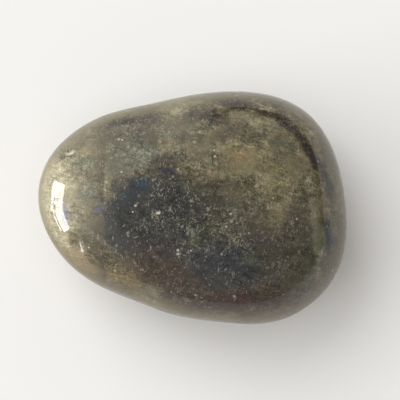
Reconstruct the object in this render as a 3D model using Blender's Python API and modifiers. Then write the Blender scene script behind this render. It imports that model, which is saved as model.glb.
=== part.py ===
"""A tumble-polished labradorite stone: one solid, lying on the small flat that wear left under it.

Seen from above the stone is a blunt, three-cornered egg. Its nose points to -X and its broad end to +X.
Units are metres. The origin is on the resting flat, under the middle of the stone's box.
"""

import math

import bmesh
import bpy
from mathutils import Vector

MM = 0.001

# Driving dimensions: the stone's overall size.
LENGTH = 31.0 * MM
WIDTH = 23.3 * MM
THICKNESS = 13.8 * MM

# The outline from above is a circle with a few waves on it. Each wave has a number of lobes, a height
# and the direction of one of its peaks, in degrees from +X.
MEAN_RADIUS = 13.5 * MM
OUTLINE_WAVES = (
    (1, 0.80 * MM, 12),  # the broad end is fuller than the nose
    (2, 3.10 * MM, -5),  # longer than it is wide
    (3, 0.73 * MM, 59),  # the three worn corners: nose, back right and front right
    (4, 0.28 * MM, -20),  # the straighter stretches between the corners
    (5, 0.33 * MM, -36),
    (6, 0.16 * MM, 27),
)

# The profile from the side. Below 1, a fullness makes the faces flatter and the rim blunter.
CROWN_HEIGHT = 7.4 * MM  # from the widest level up to the crown
BELLY_DEPTH = 6.9 * MM  # from the widest level down to the belly, before wear flattened it
PLAN_FULLNESS = 0.86
CROWN_FULLNESS = 0.97
BELLY_FULLNESS = 0.93
NOSE_THINNING = 0.17  # how much thinner the nose is than the middle, as a share
CROWN_SHIFT = Vector((0.9 * MM, -0.5 * MM))  # where the highest ground lies from the middle
BELLY_SHIFT = Vector((-0.4 * MM, 0.6 * MM))
RIM_SWAY = 0.5 * MM  # how far the widest level rises and falls round the stone
RIM_SWAY_PEAK = math.radians(70)

# Four broad faces that tumbling wore a little flatter: direction, distance from the middle, and how much
# of the stone past that distance is left.
WORN_FACES = (
    (Vector((-0.34, 0.62, 0.71)), 8.3 * MM, 0.60),
    (Vector((0.52, -0.66, 0.54)), 10.9 * MM, 0.65),
    (Vector((0.80, 0.10, 0.60)), 12.6 * MM, 0.65),
    (Vector((-0.55, -0.42, -0.72)), 8.7 * MM, 0.60),
)
RESTING_WEAR = 0.7 * MM  # how much of the belly is gone, which leaves the resting flat

# The cage is a cube with this many faces along each edge, rounded to a ball, then subdivided.
CAGE_FACES = 7
SMOOTHING_LEVELS = 2

STONE_NAME = "labradorite_stone"
STONE_COLOUR = (0.115, 0.102, 0.074, 1.0)
STONE_ROUGHNESS = 0.08
STONE_IOR = 1.56


def clear_scene():
    """Removes every object that the file opened with."""
    for obj in list(bpy.data.objects):
        bpy.data.objects.remove(obj, do_unlink=True)


def signed_power(value, exponent):
    """value to that power, keeping its sign."""
    return math.copysign(abs(value) ** exponent, value)


def outline_radius(azimuth):
    """Distance from the middle to the outline, seen from above, in the direction azimuth."""
    radius = MEAN_RADIUS
    for lobes, height, peak in OUTLINE_WAVES:
        radius += height * math.cos(lobes * (azimuth - math.radians(peak)))
    return radius


def wear_faces(point):
    """Draws back a point that lies past a worn face."""
    for direction, distance, kept in WORN_FACES:
        outward = direction.normalized()
        past = point.dot(outward) - distance
        if past > 0:
            point = point - outward * past * (1 - kept)
    return point


def stone_point(direction):
    """Where the point of a unit ball in this direction lies on the stone, measured from its middle."""
    azimuth = math.atan2(direction.y, direction.x)
    level = direction.z
    across = math.hypot(direction.x, direction.y)
    radius = outline_radius(azimuth) * across**PLAN_FULLNESS
    if level > 0:
        height = CROWN_HEIGHT * signed_power(level, CROWN_FULLNESS)
        shift = CROWN_SHIFT * level**2
    else:
        height = BELLY_DEPTH * signed_power(level, BELLY_FULLNESS)
        shift = BELLY_SHIFT * level**2
    x = radius * math.cos(azimuth) + shift.x
    y = radius * math.sin(azimuth) + shift.y
    thinning = 1 + NOSE_THINNING * x / LENGTH
    sway = RIM_SWAY * across**2 * math.cos(azimuth - RIM_SWAY_PEAK)
    return wear_faces(Vector((x, y, height * thinning + sway)))


def flatten_foot(mesh):
    """Lays the lowest part of the cage on one level, as wear on the belly did."""
    level = min(vertex.co.z for vertex in mesh.vertices) + RESTING_WEAR
    for vertex in mesh.vertices:
        vertex.co.z = max(vertex.co.z, level)


def stone_cage():
    """A cube cut into even faces, each corner moved to its place on the stone."""
    bpy.ops.mesh.primitive_cube_add(size=2.0)
    obj = bpy.context.active_object
    obj.name = STONE_NAME
    obj.data.name = STONE_NAME
    cage = bmesh.new()
    cage.from_mesh(obj.data)
    bmesh.ops.subdivide_edges(cage, edges=cage.edges[:], cuts=CAGE_FACES - 1, use_grid_fill=True)
    for vertex in cage.verts:
        evened = Vector(math.tan(axis * math.pi / 4) for axis in vertex.co)
        vertex.co = stone_point(evened.normalized())
    cage.to_mesh(obj.data)
    cage.free()
    flatten_foot(obj.data)
    return obj


def smooth_cage(obj):
    """Rounds the cage into the stone's own surface."""
    rounding = obj.modifiers.new("rounding", "SUBSURF")
    rounding.levels = SMOOTHING_LEVELS
    rounding.render_levels = SMOOTHING_LEVELS
    obj.data.shade_smooth()


def fit_to_size(obj):
    """Scales the rounded stone to its overall size and sets its resting flat on the origin's level."""
    bpy.context.view_layer.update()
    low, high = box_of(obj)
    scale = [size / (b - a) for size, a, b in zip((LENGTH, WIDTH, THICKNESS), low, high)]
    middle = (low + high) / 2
    for vertex in obj.data.vertices:
        vertex.co.x = (vertex.co.x - middle.x) * scale[0]
        vertex.co.y = (vertex.co.y - middle.y) * scale[1]
        vertex.co.z = (vertex.co.z - low.z) * scale[2]
    obj.data.update()


def box_of(obj):
    """Lowest and highest corner of the object's rounded mesh."""
    evaluated = obj.evaluated_get(bpy.context.evaluated_depsgraph_get())
    places = [vertex.co.copy() for vertex in evaluated.to_mesh().vertices]
    evaluated.to_mesh_clear()
    low = Vector(min(place[axis] for place in places) for axis in range(3))
    high = Vector(max(place[axis] for place in places) for axis in range(3))
    return low, high


def polished_feldspar():
    """The stone's plain finish: grey-olive feldspar with a glassy polish."""
    material = bpy.data.materials.new("polished_labradorite")
    material.use_nodes = True
    shader = material.node_tree.nodes["Principled BSDF"]
    shader.inputs["Base Color"].default_value = STONE_COLOUR
    shader.inputs["Roughness"].default_value = STONE_ROUGHNESS
    shader.inputs["IOR"].default_value = STONE_IOR
    shader.inputs["Metallic"].default_value = 0.0
    return material


def own_collection(obj, name):
    """Moves the object into a collection of that name."""
    collection = bpy.data.collections.new(name)
    bpy.context.scene.collection.children.link(collection)
    for old in list(obj.users_collection):
        old.objects.unlink(obj)
    collection.objects.link(obj)


def main():
    clear_scene()
    stone = stone_cage()
    own_collection(stone, STONE_NAME)
    smooth_cage(stone)
    fit_to_size(stone)
    stone.data.materials.append(polished_feldspar())


main()
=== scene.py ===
"""A tumble-polished labradorite pebble lying on white paper, lit from a low window on its left."""

import math
import random

import bmesh
import bpy
import numpy as np
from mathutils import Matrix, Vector, noise
from mathutils.bvhtree import BVHTree


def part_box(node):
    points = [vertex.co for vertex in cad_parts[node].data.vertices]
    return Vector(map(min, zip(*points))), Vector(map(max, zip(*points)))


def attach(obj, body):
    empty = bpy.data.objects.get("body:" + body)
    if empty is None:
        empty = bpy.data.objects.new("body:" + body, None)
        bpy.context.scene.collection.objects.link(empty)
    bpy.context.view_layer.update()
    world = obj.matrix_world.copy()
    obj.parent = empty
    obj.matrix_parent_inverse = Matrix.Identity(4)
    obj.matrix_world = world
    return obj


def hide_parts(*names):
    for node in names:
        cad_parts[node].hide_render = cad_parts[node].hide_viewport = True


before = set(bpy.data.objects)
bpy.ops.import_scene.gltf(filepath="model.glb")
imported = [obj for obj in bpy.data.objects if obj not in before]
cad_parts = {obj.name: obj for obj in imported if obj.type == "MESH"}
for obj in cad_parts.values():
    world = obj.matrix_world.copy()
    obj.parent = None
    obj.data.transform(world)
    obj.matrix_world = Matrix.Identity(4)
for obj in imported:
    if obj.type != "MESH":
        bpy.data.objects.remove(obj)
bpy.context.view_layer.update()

MM = 0.001

# ------------------------------------------------------------------------------------------------
# The camera looks straight down on the pebble from a hand's height. It takes in a 40 mm square at
# the height of the pebble's rim.

stone_low, stone_high = (Vector(corner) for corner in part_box("labradorite_stone"))
stone_middle = (stone_low + stone_high) / 2
half_length, half_width = (stone_high - stone_low).xy / 2

FRAMED_WIDTH = 40.0 * MM
CAMERA_HEIGHT = 120.0 * MM  # above the rim
SENSOR_WIDTH = 36.0
RIM_HEIGHT = 6.2 * MM
# The pebble lies a little to the left of the frame's middle and in front of it.
CAMERA_OFFSET = Vector((0.77 * MM, 0.82 * MM, 0.0))

camera = bpy.data.objects.new("camera", bpy.data.cameras.new("camera"))
camera.data.sensor_width = SENSOR_WIDTH
camera.data.lens = SENSOR_WIDTH * CAMERA_HEIGHT / FRAMED_WIDTH
camera.data.clip_start = 5 * MM
camera.data.clip_end = 20.0
camera.location = Vector((*stone_middle.xy, RIM_HEIGHT + CAMERA_HEIGHT)) + CAMERA_OFFSET
bpy.context.scene.collection.objects.link(camera)
bpy.context.scene.camera = camera
bpy.context.scene.view_settings.view_transform = "Standard"
bpy.context.scene.view_settings.look = "None"

# ------------------------------------------------------------------------------------------------
# The pebble: one lump of labradorite feldspar. Days in a tumbling barrel with finer and finer grit
# rounded and polished it. What the polish couldn't reach stays: broad flats, small chips and pits.

BALL_FACES = 128  # faces along each edge of the cube that is rounded into the pebble
FACET_SMOOTHING = 60  # passes that take the coarse facets off
SMOOTHING_SHARE = 0.5


def cube_ball(faces):
    """A unit ball made from a cube of even faces."""
    mesh = bmesh.new()
    bmesh.ops.create_cube(mesh, size=2.0)
    bmesh.ops.subdivide_edges(mesh, edges=mesh.edges[:], cuts=faces - 1, use_grid_fill=True)
    for vertex in mesh.verts:
        vertex.co = Vector(math.tan(axis * math.pi / 4) for axis in vertex.co).normalized()
    return mesh


stone_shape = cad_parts["labradorite_stone"].data
surface_tree = BVHTree.FromPolygons(
    [vertex.co.copy() for vertex in stone_shape.vertices],
    [tuple(face.vertices) for face in stone_shape.polygons],
)
ball = cube_ball(BALL_FACES)
for vertex in ball.verts:
    vertex.co = surface_tree.ray_cast(stone_middle, vertex.co)[0]
stone_mesh = bpy.data.meshes.new("tumbled_pebble")
ball.to_mesh(stone_mesh)
ball.free()

count = len(stone_mesh.vertices)
places = np.empty(count * 3)
stone_mesh.vertices.foreach_get("co", places)
places = places.reshape(count, 3)
edges = np.empty(len(stone_mesh.edges) * 2, dtype=int)
stone_mesh.edges.foreach_get("vertices", edges)
starts, ends = edges.reshape(-1, 2).T
neighbours = np.bincount(np.concatenate((starts, ends)), minlength=count)


def neighbour_mean(values):
    """For each vertex, the mean of a value over the vertices joined to it."""
    total = np.bincount(starts, weights=values[ends], minlength=count)
    total += np.bincount(ends, weights=values[starts], minlength=count)
    return total / neighbours


for _ in range(FACET_SMOOTHING):
    for axis in range(3):
        drawn = neighbour_mean(places[:, axis])
        places[:, axis] += SMOOTHING_SHARE * (drawn - places[:, axis])

stone_mesh.vertices.foreach_set("co", places.ravel())
stone_mesh.update()
normals = np.empty(count * 3)
stone_mesh.vertices.foreach_get("normal", normals)
normals = normals.reshape(count, 3)

# Uneven hardness: the barrel cuts soft grains faster, which leaves the polish slightly wavy.
WAVES = (  # length, height
    (7.0 * MM, 0.060 * MM),
    (3.0 * MM, 0.022 * MM),
    (1.1 * MM, 0.005 * MM),
)

relief = np.zeros(count)
for wave_length, wave_height in WAVES:
    for index in range(count):
        relief[index] += wave_height * noise.noise(Vector(places[index]) / wave_length)

# Chips and hollows that can be told apart. Each has its place as shares of the half length and half
# width, its half length, half width and depth in millimetres, its turn in degrees, and how rough
# and pale it was left, from 0 to 1.
CHIPS = (
    (-0.765, 0.465, 0.50, 0.20, 0.12, 18, 0.9),  # a fresh nick on the nose, frosted pale; the pale also stands in as a painted highlight
    (-0.84, 0.37, 0.36, 0.32, 0.05, 0, 0.4),  # a ring-shaped pit beside it
    (-0.722, -0.270, 1.20, 0.74, 0.32, -62, 0.0),  # a polished hollow
    (-0.855, 0.075, 0.26, 0.24, 0.10, 0, 0.3),
    (-0.875, 0.010, 0.26, 0.20, 0.08, 70, 0.3),
    (-0.205, -0.035, 0.28, 0.14, 0.05, 8, 1.0),
    (-0.085, -0.335, 0.14, 0.14, 0.05, 10, 1.0),
    (-0.085, -0.365, 0.14, 0.14, 0.05, 10, 1.0),
    (-0.455, 0.575, 0.14, 0.13, 0.05, 0, 0.9),
    (0.235, -0.04, 0.14, 0.13, 0.05, 0, 0.9),
    (-0.345, 0.025, 0.14, 0.13, 0.05, 0, 0.8),
    (0.895, -0.53, 0.15, 0.14, 0.06, 0, 0.9),
    (-0.48, -0.515, 0.14, 0.13, 0.05, 0, 0.9),
    (0.61, -0.12, 0.18, 0.13, 0.05, 30, 0.6),
    (0.02, -0.71, 0.15, 0.13, 0.05, 0, 0.7),
    (0.26, -0.72, 0.16, 0.13, 0.05, 0, 0.7),
    (0.18, -0.365, 0.14, 0.13, 0.05, 0, 0.7),
)
frosting = np.zeros(count)


def dent(centre, along, across, depth, turn, frosted):
    """Scoops a shallow oval out of the relief where it lies on the surface nearest to centre."""
    offset = places - centre
    reach = max(along, across)
    near = np.nonzero((offset**2).sum(axis=1) < reach**2)[0]
    if not len(near):
        return
    outward = normals[near].mean(axis=0)
    outward /= np.linalg.norm(outward)
    lengthwise = np.array((math.cos(turn), math.sin(turn), 0.0))
    lengthwise -= outward * (outward @ lengthwise)
    lengthwise /= np.linalg.norm(lengthwise)
    crosswise = np.cross(outward, lengthwise)
    distance = np.hypot(offset[near] @ lengthwise / along, offset[near] @ crosswise / across)
    scoop = np.clip(1 - distance**2, 0, 1)
    relief[near] -= depth * scoop
    frosting[near] = np.maximum(frosting[near], frosted * np.sqrt(scoop))


def place_on_plan(x_share, y_share, level):
    """The point at shares of the half length and half width from the stone's middle, at a level."""
    return (stone_middle.x + x_share * half_length, stone_middle.y + y_share * half_width, level)


for x_share, y_share, along, across, depth, turn, frosted in CHIPS:
    above = Vector(place_on_plan(x_share, y_share, 1.0))
    centre = surface_tree.ray_cast(above, Vector((0, 0, -1)))[0]
    dent(np.array(centre), along * MM, across * MM, depth * MM, math.radians(turn), frosted)

# Tiny pits all over, where a crystal's corner broke out. The barrel's last grit stays in them.
PIT_COUNT = 260
PIT_SIZES = (0.08 * MM, 0.24 * MM)
PIT_WIDTHS = (0.4, 1.0)  # shares of the length
PIT_DEPTHS = (0.010 * MM, 0.035 * MM)
PIT_FROSTING = (0.0, 0.35)
SMALLEST_PIT = 0.13 * MM  # the mesh can't show a smaller one
dice = random.Random(27)
for _ in range(PIT_COUNT):
    centre = places[dice.randrange(count)]
    along = dice.uniform(*PIT_SIZES)
    across = along * dice.uniform(*PIT_WIDTHS)
    frosted = dice.uniform(*PIT_FROSTING)
    depth = dice.uniform(*PIT_DEPTHS)
    turn = dice.uniform(0, math.pi)
    dent(centre, max(along, SMALLEST_PIT), max(across, SMALLEST_PIT), depth, turn, frosted)

# The relief fades out by the resting flat, which stays on the paper.
FLAT_CLEARANCE = 0.6 * MM
fade = np.clip((places[:, 2] - stone_low.z) / FLAT_CLEARANCE, 0, 1)
places += normals * (relief * fade)[:, None]
places[:, 2] = np.maximum(places[:, 2], stone_low.z)
stone_mesh.vertices.foreach_set("co", places.ravel())
frosting_layer = stone_mesh.attributes.new("frosting", "FLOAT", "POINT")
frosting_layer.data.foreach_set("value", frosting)
stone_mesh.update()
stone_mesh.shade_smooth()

pebble = bpy.data.objects.new("tumbled_pebble", stone_mesh)
bpy.context.scene.collection.objects.link(pebble)


def linear(code):
    """An sRGB hex colour as linear red, green, blue and alpha."""
    parts = [int(code[start : start + 2], 16) / 255 for start in (1, 3, 5)]
    colour = [
        part / 12.92 if part <= 0.04045 else ((part + 0.055) / 1.055) ** 2.4
        for part in parts
    ]
    return colour + [1.0]


def add(tree, kind, inputs=None, output=0, **settings):
    """Adds a node, sets its settings, fills or links its inputs, and gives one of its outputs."""
    node = tree.nodes.new(kind)
    for name, value in settings.items():
        setattr(node, name, value)
    for name, value in (inputs or {}).items():
        if isinstance(value, bpy.types.NodeSocket):
            tree.links.new(value, node.inputs[name])
        else:
            node.inputs[name].default_value = value
    return node.outputs[output] if node.outputs else node


# In a map range 0 is the value, 1 and 2 the ends it runs between, 3 and 4 what those turn into.
SMOOTH = {"interpolation_type": "SMOOTHSTEP"}
# In a mix 0 is the share, 6 what lies under and 7 what lies over.
BLEND = {"data_type": "RGBA", "output": 2}

# Polished labradorite, a calcium-rich feldspar: grey-olive, half clear, full of cleavage planes and
# iron-stained cracks. Under a glassy polish the eye sees cloudy patches of tan, grey and near black
# with soft torn edges, pale crystal flecks in them, and here and there a plane that flashes blue.
FELDSPAR_IOR = 1.56
POLISH_ROUGHNESS = 0.035

stone = bpy.data.materials.new("polished_labradorite")
stone.use_nodes = True
tree = stone.node_tree
tree.nodes.clear()
position = add(tree, "ShaderNodeTexCoord", output="Object")
CLOUD_LEVEL = 10.0 * MM
CLOUD_THICKNESS = 14.0 * MM  # to either side of that level


def strayed(where, size, distance):
    """A place in the stone pushed about at random, by up to distance, in folds of that size."""
    drift = add(
        tree, "ShaderNodeTexNoise",
        {"Vector": where, "Scale": 1 / size, "Detail": 3.0, "Roughness": 0.6},
        output="Color",
    )
    drift = add(
        tree, "ShaderNodeVectorMath", {0: drift, 1: (0.5, 0.5, 0.5)}, operation="SUBTRACT"
    )
    drift = add(
        tree, "ShaderNodeVectorMath", {0: drift, "Scale": 2 * distance}, operation="SCALE"
    )
    return add(tree, "ShaderNodeVectorMath", {0: where, 1: drift})


def into_lens(where, x_share, y_share, along, across, turn):
    """How deep a place lies in a lens-shaped cloud: 1 in its middle, 0.5 on its edge, then to 0."""
    inside = add(
        tree, "ShaderNodeMapping",
        {
            "Vector": where,
            "Location": place_on_plan(x_share, y_share, CLOUD_LEVEL),
            "Rotation": (0, 0, math.radians(turn)),
            "Scale": (2 * along * MM, 2 * across * MM, 2 * CLOUD_THICKNESS),
        },
        vector_type="TEXTURE",
    )
    # With this many clouds, taking the length of the vector here made the whole stone render black.
    return add(
        tree, "ShaderNodeTexGradient", {"Vector": inside}, output="Fac", gradient_type="SPHERICAL"
    )


# The ground colour of the feldspar: two olive tans in clouds, with grains of slightly other hues.
cloudy = strayed(position, 4.5 * MM, 1.5 * MM)
torn = strayed(cloudy, 1.2 * MM, 0.55 * MM)
ragged = strayed(strayed(position, 1.2 * MM, 0.50 * MM), 0.40 * MM, 0.20 * MM)
clouds = add(
    tree, "ShaderNodeTexNoise",
    {"Vector": torn, "Scale": 1 / (3.2 * MM), "Detail": 6.0, "Roughness": 0.66},
)
share = add(tree, "ShaderNodeMapRange", {0: clouds, 1: 0.38, 2: 0.60}, **SMOOTH)
colour = add(tree, "ShaderNodeMix", {0: share, 6: linear("#474234"), 7: linear("#837a5d")}, **BLEND)
TINTED_GRAIN_COVER = 0.45
grains = add(
    tree, "ShaderNodeTexVoronoi", {"Vector": ragged, "Scale": 1 / (0.9 * MM)}, output="Color"
)
green_part = add(tree, "ShaderNodeSeparateColor", {0: grains}, output=0)
brown_part = add(tree, "ShaderNodeSeparateColor", {0: grains}, output=1)
for part, rarity, code in ((green_part, 0.55, "#5f6653"), (brown_part, 0.68, "#6a5840")):
    share = add(
        tree, "ShaderNodeMapRange",
        {0: part, 1: rarity, 2: 0.97, 3: 0.0, 4: TINTED_GRAIN_COVER},
        **SMOOTH,
    )
    colour = add(tree, "ShaderNodeMix", {0: share, 6: colour, 7: linear(code)}, **BLEND)

# The clouds in this pebble, laid over each other in this order: place in shares of the half length
# and half width, half size in millimetres, turn in degrees, how soft the edge is, colour and cover.
# Each goes down through the stone, and gets smaller away from its own level.
STONE_CLOUDS = (
    (0.40, 0.46, 7.6, 4.6, 8, 0.5, "#6b634b", 0.3),  # tan ground, back right
    (0.06, -0.26, 9.8, 5.6, -7, 0.30, "#4a473c", 0.85),  # the dark body
    (-0.24, -0.06, 5.6, 4.1, 8, 0.28, "#303131", 0.9),  # the near-black core
    (-0.14, 0.22, 1.9, 0.9, -6, 0.4, "#2f3034", 0.85),
    (0.20, -0.46, 4.6, 2.6, -5, 0.40, "#38393d", 0.9),  # slate, in front of it
    (0.60, -0.30, 3.6, 3.0, 0, 0.5, "#4c483c", 0.85),  # charcoal
    (-0.40, 0.42, 3.2, 1.7, 12, 0.35, "#504e41", 0.85),  # grey-green, behind the core
    (-0.30, 0.42, 1.5, 0.9, 20, 0.6, "#5d5f4f", 0.7),
    (-0.43, 0.68, 3.6, 1.2, 20, 0.6, "#4c473b", 0.75),
    (-0.05, 0.40, 3.4, 1.5, 30, 0.6, "#565041", 0.6),
    (-0.41, -0.57, 2.2, 1.3, -28, 0.5, "#655a42", 0.85),  # ochre
    (-0.60, -0.34, 2.0, 1.0, -35, 0.6, "#5b5343", 0.75),
    (-0.18, -0.52, 3.4, 1.6, -16, 0.5, "#443730", 0.85),  # red-brown
    (-0.42, -0.60, 1.8, 0.8, -28, 0.6, "#76653f", 0.75),
    (0.30, -0.77, 6.8, 1.4, 3, 0.5, "#42342b", 0.9),  # brown along the front
    (0.31, 0.40, 2.1, 1.3, 0, 0.7, "#8b805f", 0.75),
    (0.44, 0.24, 2.0, 1.3, 0, 0.7, "#82795b", 0.75),
    (-0.14, 0.40, 1.7, 0.9, 10, 0.6, "#3d3931", 0.8),
    (0.04, 0.20, 2.2, 1.0, -20, 0.6, "#454134", 0.7),
    (0.56, 0.20, 1.7, 2.6, 0, 0.6, "#7c7357", 0.7),
    (0.40, 0.02, 2.0, 1.2, -30, 0.6, "#5f5a46", 0.7),
    (0.51, 0.08, 1.1, 2.2, 0, 0.8, "#898062", 0.75),
    (0.64, -0.08, 0.9, 1.6, 0, 0.5, "#4f4b3d", 0.8),
    (0.70, -0.46, 1.1, 2.2, 0, 0.5, "#4a4736", 0.85),
    (0.70, -0.66, 1.6, 0.9, 10, 0.5, "#55513f", 0.8),
    (0.24, -0.88, 0.6, 0.25, 0, 0.6, "#65745a", 0.6),
    (0.02, -0.26, 0.5, 0.9, 0, 0.6, "#5a5f49", 0.7),
    (0.36, -0.42, 0.9, 0.4, -20, 0.7, "#57614a", 0.55),  # greenish and violet hints in the body
    (0.13, -0.13, 1.0, 0.6, 30, 0.7, "#52573f", 0.5),
    (-0.27, -0.32, 2.4, 0.9, 0, 0.7, "#3f3437", 0.6),
    (0.40, -0.26, 1.7, 0.6, 0, 0.7, "#443b40", 0.6),
    (-0.06, -0.68, 1.6, 0.7, -15, 0.7, "#3b3134", 0.6),
    (0.22, -0.76, 3.0, 0.7, 2, 0.6, "#432e2d", 0.65),
    (0.27, 0.42, 1.1, 0.6, 0, 0.7, "#80694a", 0.5),
    (0.52, 0.32, 0.9, 0.5, 0, 0.7, "#807e54", 0.5),
    (0.08, 0.76, 2.2, 0.9, -6, 0.5, "#3b342a", 0.8),
    (-0.12, 0.68, 1.8, 0.9, 15, 0.6, "#5e5846", 0.75),
    (0.04, 0.62, 1.2, 0.5, -20, 0.6, "#6e6650", 0.7),
    (0.28, 0.61, 1.9, 1.0, 0, 0.6, "#4e4737", 0.8),
    (0.20, 0.36, 1.2, 0.8, 0, 0.6, "#5a543f", 0.7),
    (0.28, 0.86, 2.0, 0.6, -6, 0.5, "#3a3328", 0.85),
    (-0.43, 0.73, 2.6, 0.34, 10, 0.5, "#2f2a22", 0.9),
    # Painted reflection: a dark band along the back-right rim, where the polish mirrors the dark
    # room.
    (0.46, 0.78, 1.8, 0.32, -20, 0.5, "#3a322c", 0.8),  # the dark band along the back right, a painted reflection
    (0.61, 0.65, 1.6, 0.38, -38, 0.5, "#352e2d", 0.85),
    (0.735, 0.45, 1.8, 0.55, -54, 0.5, "#342c2e", 0.9),
    (0.845, 0.22, 1.7, 0.50, -74, 0.5, "#2f2c2b", 0.9),
    (0.845, -0.22, 1.7, 0.42, -84, 0.5, "#1f2127", 1.0),
    # Painted reflection: a pale green-grey streak inside the dark band.
    (0.742, 0.10, 0.60, 2.0, 6, 0.4, "#86836b", 0.9),
    (0.775, -0.27, 0.42, 2.6, 8, 0.35, "#7a7b63", 0.85),  # the pale green-grey streak, a painted reflection
)
for x_share, y_share, along, across, turn, softness, code, cover in STONE_CLOUDS:
    depth = into_lens(ragged, x_share, y_share, along, across, turn)
    share = add(
        tree, "ShaderNodeMapRange",
        {0: depth, 1: (1 - softness) / 2, 2: (1 + softness) / 2, 3: 0.0, 4: cover},
        **SMOOTH,
    )
    colour = add(tree, "ShaderNodeMix", {0: share, 6: colour, 7: linear(code)}, **BLEND)

# The nose is paler: partly milky feldspar, and partly a painted reflection of the bright wall beside
# the window, whose straight edge across the stone it follows. Towards the tip it grows paler still,
# a painted glow around the window's reflection.
WALL_VEIL_EDGE = (-8.45 * MM, -8.20 * MM)
MILK_AND_GLOW_FADE = (-13.6 * MM, -8.0 * MM)
MILK_AND_VEIL_COVER = 0.85
NOSE_TINT_AND_GLOW_COVER = 0.7
along_stone = strayed(position, 2.5 * MM, 0.20 * MM)
along_stone = add(tree, "ShaderNodeSeparateXYZ", {0: along_stone}, output="X")
milk_and_wall_veil = add(
    tree, "ShaderNodeMapRange",
    {0: along_stone, 1: WALL_VEIL_EDGE[0], 2: WALL_VEIL_EDGE[1], 3: MILK_AND_VEIL_COVER, 4: 0.0},
    **SMOOTH,
)
share = add(
    tree, "ShaderNodeMapRange", {0: along_stone, 1: MILK_AND_GLOW_FADE[0], 2: MILK_AND_GLOW_FADE[1]}, **SMOOTH
)
milk_and_veil_colour = add(
    tree, "ShaderNodeMix", {0: share, 6: linear("#a29a7e"), 7: linear("#554c3c")}, **BLEND
)
NOSE_TINTS_AND_GLOWS = (  # place, half size, turn and colour, as for the clouds
    (-0.77, 0.57, 2.8, 1.4, 42, "#5f5742"),
    # Painted shadow: a thin dark line along the nick's lower side.
    (-0.785, 0.435, 0.70, 0.13, 18, "#241f17"),
    (-0.91, -0.30, 0.8, 1.3, 20, "#706649"),
    (-0.68, 0.38, 1.1, 0.7, 0, "#646a55"),
    (-0.64, 0.12, 0.9, 1.2, 0, "#66665a"),
    (-0.62, -0.28, 1.6, 0.9, -25, "#514a38"),
    (-0.52, 0.15, 0.8, 2.4, 0, "#453f33"),
    # Painted highlight: a pale violet halo beside the window's reflection, with a hint of violet
    # flash.
    (-0.79, -0.05, 0.35, 1.2, 8, "#8b8a99"),
    # Painted glow: warm beige where the window's light shines through the thin lower-left edge.
    (-0.72, -0.44, 1.9, 1.3, -45, "#8d7a55"),
)
for x_share, y_share, along, across, turn, code in NOSE_TINTS_AND_GLOWS:
    depth = into_lens(ragged, x_share, y_share, along, across, turn)
    share = add(
        tree, "ShaderNodeMapRange", {0: depth, 1: 0.2, 2: 0.8, 3: 0.0, 4: NOSE_TINT_AND_GLOW_COVER}, **SMOOTH
    )
    milk_and_veil_colour = add(tree, "ShaderNodeMix", {0: share, 6: milk_and_veil_colour, 7: linear(code)}, **BLEND)
colour = add(tree, "ShaderNodeMix", {0: milk_and_wall_veil, 6: colour, 7: milk_and_veil_colour}, **BLEND)

# Where grain shows: less in some clouds, and hardly on the shoulder above the stone's widest level,
# which is painted over with the paper that the polish mirrors there: painted reflection.
SHOULDER_TOP = (0.42, 0.70)  # how upright the surface's normal is
SHOULDER_FOOT = (0.05, 0.40)
SHOULDER_GRAIN = 0.15
GRAIN_UNDER_MILK_AND_VEIL = 0.72
upright = add(tree, "ShaderNodeTexCoord", output="Normal")
upright = add(tree, "ShaderNodeSeparateXYZ", {0: upright}, output="Z")
uneven = add(tree, "ShaderNodeMapRange", {0: clouds, 1: 0.3, 2: 0.7, 3: -0.07, 4: 0.07})
upright = add(tree, "ShaderNodeMath", {0: upright, 1: uneven})
shoulder = add(
    tree, "ShaderNodeMapRange",
    {0: upright, 1: SHOULDER_TOP[0], 2: SHOULDER_TOP[1], 3: 1.0, 4: 0.0},
    **SMOOTH,
)
above_foot = add(
    tree, "ShaderNodeMapRange", {0: upright, 1: SHOULDER_FOOT[0], 2: SHOULDER_FOOT[1]}, **SMOOTH
)
shoulder = add(tree, "ShaderNodeMath", {0: shoulder, 1: above_foot}, operation="MULTIPLY")
openness = add(tree, "ShaderNodeMapRange", {0: shoulder, 3: 1.0, 4: SHOULDER_GRAIN})
cleared = add(
    tree, "ShaderNodeTexNoise", {"Vector": torn, "Scale": 1 / (2.6 * MM), "Detail": 2.0}
)
cleared = add(
    tree, "ShaderNodeMapRange", {0: cleared, 1: 0.38, 2: 0.60, 3: 0.35, 4: 1.0}, **SMOOTH
)
grainy = add(tree, "ShaderNodeMath", {0: cleared, 1: openness}, operation="MULTIPLY")
veiled = add(tree, "ShaderNodeMapRange", {0: milk_and_wall_veil, 3: 1.0, 4: GRAIN_UNDER_MILK_AND_VEIL})
grainy = add(tree, "ShaderNodeMath", {0: grainy, 1: veiled}, operation="MULTIPLY")

# Painted reflection: the shoulder takes a calm colour for the paper it mirrors, which hides most of
# the clouds under it. It is lighter at the back, where that paper is lit, and darker and browner
# along the front, painted shade for the paper's shadow there.
RIM_REFLECTION_COVER = 0.75
lit_back_share = add(tree, "ShaderNodeSeparateXYZ", {0: position}, output="Y")
lit_back_share = add(
    tree, "ShaderNodeMapRange", {0: lit_back_share, 1: -half_width, 2: half_width}, **SMOOTH
)
painted_rim_reflection = add(
    tree, "ShaderNodeMix", {0: lit_back_share, 6: linear("#675a37"), 7: linear("#746d54")}, **BLEND
)
rim_reflection_share = add(tree, "ShaderNodeMath", {0: shoulder, 1: RIM_REFLECTION_COVER}, operation="MULTIPLY")
colour = add(tree, "ShaderNodeMix", {0: rim_reflection_share, 6: colour, 7: painted_rim_reflection}, **BLEND)

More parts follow.
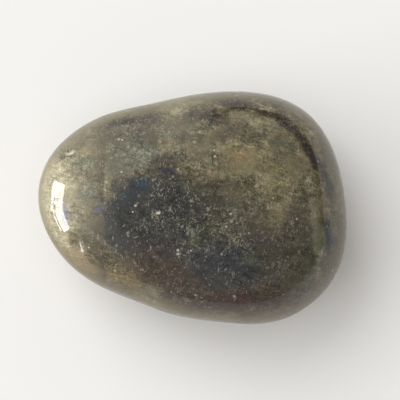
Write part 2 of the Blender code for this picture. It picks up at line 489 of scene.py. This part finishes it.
# Grain: the light and dark of single crystals, 0.1 to 1 mm across. The finest is drawn at twice
# its size.
GRAIN_SIZES = (  # size, contrast, detail
    (1.5 * MM, 0.42, 4.0),
    (0.50 * MM, 0.38, 3.0),
    (0.17 * MM, 0.48, 2.0),
)
for size, contrast, detail in GRAIN_SIZES:
    speckle = add(
        tree, "ShaderNodeTexNoise",
        {"Vector": position, "Scale": 1 / size, "Detail": detail, "Roughness": 0.7},
    )
    shade = add(
        tree, "ShaderNodeMapRange",
        {0: speckle, 1: 0.30, 2: 0.70, 3: 1 - contrast, 4: 1 + contrast},
        **SMOOTH,
    )
    shade = add(tree, "ShaderNodeCombineColor", {0: shade, 1: shade, 2: shade})
    colour = add(
        tree, "ShaderNodeMix", {0: grainy, 6: colour, 7: shade}, blend_type="MULTIPLY", **BLEND
    )

# Cleavage draws the grain out into fibres, which slant across the stone.
FIBRE_TURN = math.radians(-16)
FIBRE_SIZE = (1.8 * MM, 0.26 * MM, 1.8 * MM)
FIBRE_CONTRAST = 0.30
drawn_out = strayed(position, 3.0 * MM, 0.5 * MM)
drawn_out = add(
    tree, "ShaderNodeMapping",
    {"Vector": drawn_out, "Rotation": (0, 0, FIBRE_TURN), "Scale": FIBRE_SIZE},
    vector_type="TEXTURE",
)
fibres = add(
    tree, "ShaderNodeTexNoise",
    {"Vector": drawn_out, "Scale": 1.0, "Detail": 3.0, "Roughness": 0.6},
)
shade = add(
    tree, "ShaderNodeMapRange",
    {0: fibres, 1: 0.32, 2: 0.68, 3: 1 - FIBRE_CONTRAST, 4: 1 + FIBRE_CONTRAST},
    **SMOOTH,
)
shade = add(tree, "ShaderNodeCombineColor", {0: shade, 1: shade, 2: shade})
colour = add(
    tree, "ShaderNodeMix", {0: grainy, 6: colour, 7: shade}, blend_type="MULTIPLY", **BLEND
)

# Crystal flecks: cleavage faces seen edge on, 0.1 to 0.5 mm long, lying in several directions. They
# crowd in a belt across the dark body.
FLECK_DIRECTIONS = (  # turn, length, width
    (24, 0.34 * MM, 0.21 * MM),
    (75, 0.42 * MM, 0.18 * MM),
    (138, 0.32 * MM, 0.20 * MM),
    (104, 0.70 * MM, 0.16 * MM),
    (52, 0.20 * MM, 0.12 * MM),
)
FLECK_TILT = (0.3, 0.2)  # radians
FLECK_EDGE = (0.62, 0.70)
FLECK_COVER = 0.76
FLECK_BELT = (0.18, -0.06, 7.4, 3.2, -24)  # place, half size and turn, as for the clouds
CROWDING = (-0.08, 0.030)  # added to the noise that the flecks are cut from
BELT_CROWDING = 0.032
crowd = add(
    tree, "ShaderNodeTexNoise",
    {"Vector": torn, "Scale": 1 / (2.2 * MM), "Detail": 3.0, "Roughness": 0.7},
)
crowd = add(
    tree, "ShaderNodeMapRange", {0: crowd, 1: 0.35, 2: 0.65, 3: CROWDING[0], 4: CROWDING[1]}
)
belt = into_lens(torn, *FLECK_BELT)
belt = add(
    tree, "ShaderNodeMapRange", {0: belt, 1: 0.3, 2: 0.8, 3: 0.0, 4: BELT_CROWDING}, **SMOOTH
)
crowd = add(tree, "ShaderNodeMath", {0: crowd, 1: belt})
flecks = 0.0
for turn, length, width in FLECK_DIRECTIONS:
    laid = add(
        tree, "ShaderNodeMapping",
        {
            "Vector": position,
            "Rotation": (*FLECK_TILT, math.radians(turn)),
            "Scale": (length, width, length),
        },
        vector_type="TEXTURE",
    )
    faces = add(
        tree, "ShaderNodeTexNoise",
        {"Vector": laid, "Scale": 1.0, "Detail": 2.5, "Roughness": 0.65},
    )
    faces = add(tree, "ShaderNodeMath", {0: faces, 1: crowd})
    faces = add(
        tree, "ShaderNodeMapRange", {0: faces, 1: FLECK_EDGE[0], 2: FLECK_EDGE[1]}, **SMOOTH
    )
    flecks = add(tree, "ShaderNodeMath", {0: flecks, 1: faces}, operation="MAXIMUM")
flecks = add(tree, "ShaderNodeMath", {0: flecks, 1: openness}, operation="MULTIPLY")
flecks = add(tree, "ShaderNodeMath", {0: flecks, 1: FLECK_COVER}, operation="MULTIPLY")
colour = add(tree, "ShaderNodeMix", {0: flecks, 6: colour, 7: linear("#938e7c")}, **BLEND)

# A few of them lie flat to the polish: near-white dots, pale crystal faces with a painted glint on
# them.
BRIGHT_SPACING = 1.1 * MM
BRIGHT_EDGE = (0.06, 0.13)  # shares of the spacing
BRIGHT_RARITY = 0.70
BRIGHT_COVER = 0.9
sparse = add(
    tree, "ShaderNodeTexVoronoi",
    {"Vector": position, "Scale": 1 / BRIGHT_SPACING},
    output="Distance",
)
chosen = add(tree, "ShaderNodeSeparateColor", {0: sparse.node.outputs["Color"]})
bright = add(
    tree, "ShaderNodeMapRange",
    {0: sparse, 1: BRIGHT_EDGE[0], 2: BRIGHT_EDGE[1], 3: 1.0, 4: 0.0},
    **SMOOTH,
)
chosen = add(
    tree, "ShaderNodeMapRange",
    {0: chosen, 1: BRIGHT_RARITY, 2: 1.0, 3: 0.0, 4: BRIGHT_COVER},
    **SMOOTH,
)
bright = add(tree, "ShaderNodeMath", {0: bright, 1: chosen}, operation="MULTIPLY")
bright = add(tree, "ShaderNodeMath", {0: bright, 1: openness}, operation="MULTIPLY")
colour = add(tree, "ShaderNodeMix", {0: bright, 6: colour, 7: linear("#c4bfb0")}, **BLEND)

# Twin lamellae: fine parallel lines across the crystals. Real ones are 0.05 mm apart, drawn at 0.3.
LINE_SPACING = 0.3 * MM
LINE_COVER = 0.20
lamellae = strayed(position, 3 * MM, 0.25 * MM)
lamellae = add(
    tree, "ShaderNodeTexWave",
    {"Vector": lamellae, "Scale": math.pi / (10 * LINE_SPACING), "Distortion": 1.0},
    output="Fac", wave_type="BANDS", bands_direction="X",
)
lined = add(tree, "ShaderNodeTexNoise", {"Vector": position, "Scale": 1 / (5 * MM), "Detail": 1.0})
lined = add(
    tree, "ShaderNodeMapRange", {0: lined, 1: 0.48, 2: 0.62, 3: 0.0, 4: LINE_COVER}, **SMOOTH
)
lined = add(tree, "ShaderNodeMath", {0: lined, 1: grainy}, operation="MULTIPLY")
lined = add(tree, "ShaderNodeMath", {0: lined, 1: lamellae}, operation="MULTIPLY")
colour = add(tree, "ShaderNodeMix", {0: lined, 6: colour, 7: linear("#3a362b")}, **BLEND)

# The feldspar is half clear, so light sinks in, and it looks darker than its own powder.
SUNK_LIGHT = (0.87, 0.87, 0.87, 1.0)
colour = add(
    tree, "ShaderNodeMix", {0: 1.0, 6: colour, 7: SUNK_LIGHT}, blend_type="MULTIPLY", **BLEND
)

# Grit caught in the chips and pits, the pale grey of dried polishing powder.
GRIT_COVER = 0.75
frosted = add(tree, "ShaderNodeAttribute", output="Fac", attribute_name="frosting")
share = add(tree, "ShaderNodeMath", {0: frosted, 1: GRIT_COVER}, operation="MULTIPLY")
colour = add(tree, "ShaderNodeMix", {0: share, 6: colour, 7: linear("#cfcabb")}, **BLEND)

# Labradorescence: thin layers inside the feldspar mirror teal, blue and violet light. Place, half
# size and turn as for the clouds, then colour and strength.
FLASH_METAL = 0.35
FLASHES = (
    (-0.31, 0.20, 0.9, 0.9, 18, "#2a404f", 0.55),
    (-0.56, 0.00, 0.6, 0.5, 0, "#565471", 0.45),
    (-0.14, 0.28, 0.9, 0.35, 5, "#2c3048", 0.6),
    (-0.40, 0.08, 1.3, 0.9, 30, "#34404a", 0.3),
    (0.20, -0.44, 1.6, 0.9, 0, "#2c3340", 0.25),
    (0.86, -0.23, 0.35, 0.9, 0, "#28345a", 0.5),
)
flash = 0.0
for x_share, y_share, along, across, turn, code, strength in FLASHES:
    depth = into_lens(torn, x_share, y_share, along, across, turn)
    share = add(
        tree, "ShaderNodeMapRange", {0: depth, 1: 0.35, 2: 0.85, 3: 0.0, 4: strength}, **SMOOTH
    )
    colour = add(tree, "ShaderNodeMix", {0: share, 6: colour, 7: linear(code)}, **BLEND)
    flash = add(tree, "ShaderNodeMath", {0: flash, 1: share}, operation="MAXIMUM")
mirroring = add(tree, "ShaderNodeMath", {0: flash, 1: FLASH_METAL}, operation="MULTIPLY")

# Under the polish the broken grain faces scatter light; the frosted chips have no polish at all.
GRAIN_ROUGHNESS = (0.38, 0.62)
SPECULAR_UNDER_POLISH = 0.08  # the polished coat above it does nearly all the mirroring
POLISH = 0.78  # of a perfect surface
fine_grain = add(
    tree, "ShaderNodeTexNoise",
    {"Vector": torn, "Scale": 1 / (0.35 * MM), "Detail": 3.0, "Roughness": 0.7},
)
grain_bump = add(
    tree, "ShaderNodeBump", {"Height": fine_grain, "Strength": 0.35, "Distance": 0.05 * MM}
)
grain_gloss = add(
    tree, "ShaderNodeMapRange",
    {0: fine_grain, 1: 0.3, 2: 0.7, 3: GRAIN_ROUGHNESS[0], 4: GRAIN_ROUGHNESS[1]},
    **SMOOTH,
)
polish = add(tree, "ShaderNodeMapRange", {0: frosted, 3: POLISH, 4: 0.0})
surface = add(
    tree, "ShaderNodeBsdfPrincipled",
    {
        "Base Color": colour,
        "Roughness": grain_gloss,
        "Metallic": mirroring,
        "IOR": FELDSPAR_IOR,
        "Specular IOR Level": SPECULAR_UNDER_POLISH,
        "Normal": grain_bump,
        "Coat Weight": polish,
        "Coat Roughness": POLISH_ROUGHNESS,
        "Coat IOR": FELDSPAR_IOR,
    },
)
add(tree, "ShaderNodeOutputMaterial", {"Surface": surface})
stone_mesh.materials.append(stone)

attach(pebble, "root")
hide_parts("labradorite_stone")

# ------------------------------------------------------------------------------------------------
# The floor: a large sheet of white paper.

FLOOR_SIZE = 3.0
bpy.ops.mesh.primitive_plane_add(size=FLOOR_SIZE, location=(0, 0, stone_low.z))
floor = bpy.context.active_object
floor.name = "paper_floor"
paper = bpy.data.materials.new("white_paper")
paper.use_nodes = True
paper_shader = paper.node_tree.nodes["Principled BSDF"]
paper_shader.inputs["Base Color"].default_value = linear("#eeedec")
paper_shader.inputs["Roughness"].default_value = 0.9
paper_shader.inputs["Specular IOR Level"].default_value = 0.2
floor.data.materials.append(paper)

# ------------------------------------------------------------------------------------------------
# The light: a low window on the left, a soft panel behind it to the left, and a pale room that is
# bright on their side and dim on the other.

WINDOW_DISTANCE = 1.6
WINDOW_RADIANCE = 13.0
PANES = (  # along the wall from its middle, level of its middle, width, height, in metres
    (0.285, 0.260, 0.65, 0.50),
    (-0.365, 0.315, 0.65, 0.38),
    (-0.350, 0.035, 0.62, 0.06),  # under the sill bar
)
for along_wall, level, width, height in PANES:
    pane_light = bpy.data.lights.new("window_pane", "AREA")
    pane_light.shape = "RECTANGLE"
    pane_light.size = width
    pane_light.size_y = height
    pane_light.energy = WINDOW_RADIANCE * math.pi * width * height
    pane = bpy.data.objects.new("window_pane", pane_light)
    pane.location = (-WINDOW_DISTANCE, along_wall, level)
    pane.rotation_euler = (math.pi / 2, 0, -math.pi / 2)
    bpy.context.scene.collection.objects.link(pane)

# The panels only soften the shadow: the stone doesn't mirror them.
PANELS = (  # place, size, radiance
    (Vector((-0.60, 0.80, 0.85)), 0.9, 3.42),
    (Vector((0.0, 0.0, 1.5)), 1.6, 0.66),
)
for place, size, radiance in PANELS:
    panel_light = bpy.data.lights.new("soft_panel", "AREA")
    panel_light.size = size
    panel_light.energy = radiance * math.pi * size**2
    panel = bpy.data.objects.new("soft_panel", panel_light)
    panel.location = place
    panel.rotation_euler = place.to_track_quat("Z", "Y").to_euler()
    panel.visible_glossy = False
    bpy.context.scene.collection.objects.link(panel)

room = bpy.data.worlds.new("pale_room")
bpy.context.scene.world = room
room.use_nodes = True
tree = room.node_tree
tree.nodes.clear()
towards = add(tree, "ShaderNodeTexCoord", output="Generated")
rightward = add(tree, "ShaderNodeSeparateXYZ", {0: towards}, output="X")
backward = add(tree, "ShaderNodeSeparateXYZ", {0: towards}, output="Y")
upward = add(tree, "ShaderNodeSeparateXYZ", {0: towards}, output="Z")

# The room's walls: bright at the back left, dim at the front right.
LIT_SIDE = (-0.72, 0.69, 0.0)
LIT_RANGE = (-0.15, 0.60)
WALL_BRIGHT = (0.80, 0.79, 0.765, 1.0)
lit = add(
    tree, "ShaderNodeVectorMath",
    {0: towards, 1: LIT_SIDE},
    output="Value", operation="DOT_PRODUCT",
)
share = add(tree, "ShaderNodeMapRange", {0: lit, 1: LIT_RANGE[0], 2: LIT_RANGE[1]}, **SMOOTH)
glow = add(tree, "ShaderNodeMix", {0: share, 6: linear("#aaa69f"), 7: WALL_BRIGHT}, **BLEND)

# Overhead the ceiling is shaded, and away from the window the room is dark just above the table.
CEILING_EDGE = (0.60, 0.85)
share = add(
    tree, "ShaderNodeMapRange", {0: upward, 1: CEILING_EDGE[0], 2: CEILING_EDGE[1]}, **SMOOTH
)
glow = add(tree, "ShaderNodeMix", {0: share, 6: glow, 7: linear("#8a8886")}, **BLEND)
AWAY_SIDE = (0.75, 0.66, 0.0)
AWAY_RANGE = (0.15, 0.55)
DARK_TOP = (0.18, 0.36)
away = add(
    tree, "ShaderNodeVectorMath",
    {0: towards, 1: AWAY_SIDE},
    output="Value", operation="DOT_PRODUCT",
)
away = add(tree, "ShaderNodeMapRange", {0: away, 1: AWAY_RANGE[0], 2: AWAY_RANGE[1]}, **SMOOTH)
share = add(
    tree, "ShaderNodeMapRange", {0: upward, 1: DARK_TOP[0], 2: DARK_TOP[1], 3: 1.0, 4: 0.0}, **SMOOTH
)
share = add(tree, "ShaderNodeMath", {0: share, 1: away}, operation="MULTIPLY")
glow = add(tree, "ShaderNodeMix", {0: share, 6: glow, 7: linear("#141416")}, **BLEND)

# The wall that holds the window is bright up to the ceiling's edge.
WALL_TOP = 1.45  # how high the wall ends, for each metre that it stands away
WALL_TOP_BLUR = 0.2
NEARLY_NONE = 0.001  # keeps the division below from one by nothing
WALL_GLOW = (1.10, 1.09, 1.06, 1.0)
leftward = add(tree, "ShaderNodeMath", {0: rightward, 1: -1.0}, operation="MULTIPLY")
ahead = add(tree, "ShaderNodeMath", {0: leftward, 1: NEARLY_NONE}, operation="MAXIMUM")
slope = add(tree, "ShaderNodeMath", {0: upward, 1: ahead}, operation="DIVIDE")
wall = add(
    tree, "ShaderNodeMapRange",
    {0: slope, 1: WALL_TOP - WALL_TOP_BLUR, 2: WALL_TOP + WALL_TOP_BLUR, 3: 1.0, 4: 0.0},
    **SMOOTH,
)
for value, low, high in ((leftward, 0.0, 0.3), (backward, -0.75, -0.15)):
    share = add(tree, "ShaderNodeMapRange", {0: value, 1: low, 2: high}, **SMOOTH)
    wall = add(tree, "ShaderNodeMath", {0: wall, 1: share}, operation="MULTIPLY")
glow = add(tree, "ShaderNodeMix", {0: wall, 6: glow, 7: WALL_GLOW}, **BLEND)

seen = add(tree, "ShaderNodeLightPath", output="Is Camera Ray")
shown = add(tree, "ShaderNodeMix", {0: seen, 6: glow, 7: linear("#eceae8")}, **BLEND)
background = add(tree, "ShaderNodeBackground", {"Color": shown, "Strength": 1.0})
add(tree, "ShaderNodeOutputWorld", {"Surface": background})
